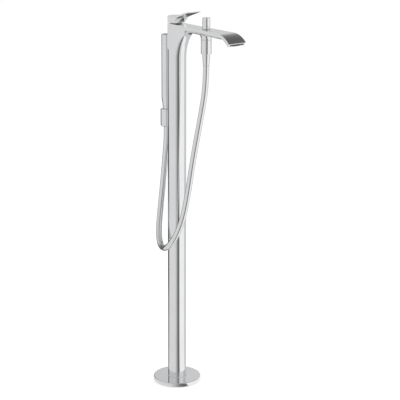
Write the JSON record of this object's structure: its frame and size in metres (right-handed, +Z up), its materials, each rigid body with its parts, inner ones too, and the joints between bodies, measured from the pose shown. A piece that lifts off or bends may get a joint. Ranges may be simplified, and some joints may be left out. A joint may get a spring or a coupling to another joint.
{
  "type": "floor standing bath filler",
  "caption": "Freestanding round-column bath mixer with a flat curved spout, top lever, pull-up diverter, hose and stick hand shower held behind the column.",
  "frame": {"origin": "on the floor at the column's axis, under the floor gasket", "axes": "+Z up the column, spout towards -Y, hand shower at +Y, hot inlet at -X and cold inlet at +X"},
  "size_m": [0.1186, 0.2781, 0.9239],
  "materials": {
    "chrome": "mirror polished",
    "hose_metal": "polished metal hose",
    "steel": "machined",
    "brass": "machined",
    "black_rubber": "moulded",
    "grey_rubber": "moulded",
    "dark_plastic": "moulded",
    "white_plastic": "moulded"
  },
  "bodies": {
    "stand": {"floor_gasket": "black_rubber", "base_plate": "steel", "flange_cover": "chrome", "cover_seal_ring": "grey_rubber", "column_spigot": "brass", "spigot_o_ring": "black_rubber", "spigot_screws": "steel", "column_grub_screw": "steel", "column_tube": "chrome", "inlet_collars": "brass", "hot_inlet_socket": "brass", "hot_supply_pipe": "steel", "hot_tail_fitting": "brass", "cold_inlet_socket": "brass", "cold_supply_pipe": "steel", "cold_tail_fitting": "brass", "tail_washers": "black_rubber", "mixer_body": "chrome", "body_o_ring": "black_rubber", "body_grub_screw": "steel", "outlet_insert": "dark_plastic", "cartridge_housing": "white_plastic", "cartridge_o_rings": "black_rubber", "cartridge_nut": "brass", "diverter_bush": "brass", "diverter_o_ring": "black_rubber", "diverter_spring": "steel", "hose_nipple": "brass", "check_valve": "white_plastic", "hose_washer": "black_rubber", "hose_nut": "chrome", "hose_upper_ferrule": "chrome", "shower_hose": "hose_metal", "holder_socket": "chrome", "holder_liner": "dark_plastic", "holder_screw": "steel", "holder_rivet_nut": "steel"},
    "lever_turn_body": {"lever_carrier": "steel", "lever_pivot_pin": "steel"},
    "lever": {"lever_handle": "chrome", "lever_link": "steel", "lever_grub_screw": "steel"},
    "spool": {"mixing_spool": "brass", "spool_o_ring": "black_rubber"},
    "diverter": {"diverter_knob": "chrome", "diverter_knob_cap": "chrome", "diverter_stem": "steel", "diverter_piston": "brass", "diverter_washer": "black_rubber"},
    "hand": {"hand_hose_nut": "chrome", "hand_hose_tail": "brass", "hand_hose_washer": "black_rubber", "hand_shower_handle": "chrome", "hand_shower_head": "chrome", "head_o_ring": "black_rubber", "spray_plate": "grey_rubber"}
  },
  "joints": [
    {"name": "lever_turn", "type": "hinge", "parent": "stand", "child": "lever_turn_body", "pos_m": [0, 0, 0.8903], "axis": [0, 0, 1], "range_deg": [-45, 45]},
    {"name": "lever_lift", "type": "hinge", "parent": "lever_turn_body", "child": "lever", "pos_m": [0, 0.014, 0.896], "axis": [-1, 0, 0], "range_deg": [0, 20]},
    {"name": "spool_rise", "type": "slide", "parent": "lever_turn_body", "child": "spool", "axis": [0, 0, 1], "range_m": [0, 0.0048]},
    {"name": "diverter_pull", "type": "slide", "parent": "stand", "child": "diverter", "axis": [0, 0, 1], "range_m": [0, 0.006], "stiffness_N_per_m": 300, "springref_m": -0.005, "deforming": ["diverter_spring"]},
    {"name": "hand_shower_lift", "type": "slide", "parent": "stand", "child": "hand", "axis": [0, 0, 1], "range_m": [0, 0.05]}
  ],
  "couplings": [
    {"joint": "spool_rise", "follows": "lever_lift", "m_per_rad": 0.01372}
  ]
}
